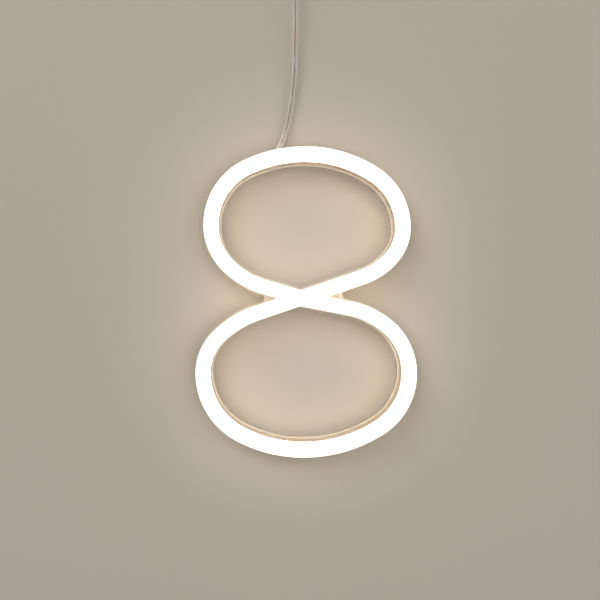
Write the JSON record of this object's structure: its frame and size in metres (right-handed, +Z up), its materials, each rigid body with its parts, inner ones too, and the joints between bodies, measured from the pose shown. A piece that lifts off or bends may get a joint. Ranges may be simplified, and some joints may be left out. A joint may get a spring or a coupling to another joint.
{
  "type": "led neon sign",
  "caption": "Wall sign: the numeral eight in one stroke of glowing LED neon flex on a clear cut-out plate, with a clear cord, inline rocker switch and barrel plug.",
  "frame": {"origin": "on the wall, behind the middle of the stroke's crossing", "axes": "+Z up the wall, +X to the right seen from the front, +Y into the wall, so that the sign stands out of the wall towards -Y"},
  "size_m": [0.1294, 0.019, 0.3818],
  "materials": {
    "adhesive_gel": "glossy, clear",
    "clear_acrylic": "polished, clear",
    "clear_adhesive": "clear",
    "clear_silicone": "smoky translucent",
    "opal_silicone": "satin, milky, lit from inside",
    "cap_silicone": "satin, milky",
    "strip_board": "satin white",
    "led_package": "moulded",
    "led_phosphor": "gel",
    "resistor_body": "matt",
    "copper_pad": "bare copper",
    "copper_core": "bare copper under clear insulation",
    "tinned_core": "tinned copper under clear insulation",
    "solder": "bright",
    "gland_pvc": "soft clear",
    "cord_pvc": "clear over two cores",
    "tie_fabric": "hook and loop",
    "clear_hook": "moulded, clear",
    "switch_shell": "fine moulded grain",
    "rocker_plastic": "polished",
    "pin_steel": "ground",
    "contact_copper": "stamped copper",
    "contact_brass": "stamped brass",
    "screw_steel": "zinc plated",
    "wire_insulation": "clear over copper",
    "boot_pvc": "soft moulded",
    "plug_pvc": "soft moulded",
    "nickel_barrel": "nickel plated",
    "insulator": "moulded",
    "contact_tube": "plated"
  },
  "bodies": {
    "sign": {"mounting_dots": "adhesive_gel", "back_plate": "clear_acrylic", "channel_bond": "clear_adhesive", "neon_channel": "clear_silicone", "neon_diffuser": "opal_silicone", "end_cap_upper": "cap_silicone", "end_cap_lower": "cap_silicone", "led_strip": "strip_board", "led_chips": "led_package", "led_windows": "led_phosphor", "strip_resistors": "resistor_body", "strip_pads": "copper_pad", "lead_wire_positive": "copper_core", "lead_wire_negative": "tinned_core", "solder_joints": "solder", "cord_gland": "gland_pvc", "cord_lower": "cord_pvc", "cord_upper": "cord_pvc", "cord_coil": "cord_pvc", "cord_tail": "cord_pvc", "coil_tie": "tie_fabric", "cord_hook": "clear_hook", "hook_pad": "adhesive_gel", "switch_back_shell": "switch_shell", "switch_front_shell": "switch_shell", "fixed_contacts": "contact_brass", "switch_screws": "screw_steel", "switch_wires": "wire_insulation", "switch_boot_lower": "boot_pvc", "switch_boot_upper": "boot_pvc", "plug_boot": "plug_pvc", "plug_body": "plug_pvc", "plug_barrel": "nickel_barrel", "plug_insulator": "insulator", "plug_socket": "contact_tube"},
    "rocker": {"switch_rocker": "rocker_plastic", "rocker_pin": "pin_steel", "rocker_contact": "contact_copper"}
  },
  "joints": [
    {"name": "rocker_tilt", "type": "hinge", "parent": "sign", "child": "rocker", "pos_m": [-0.0034, -0.0106, 0.21], "axis": [1, 0, 0], "range_deg": [0, 16]}
  ]
}
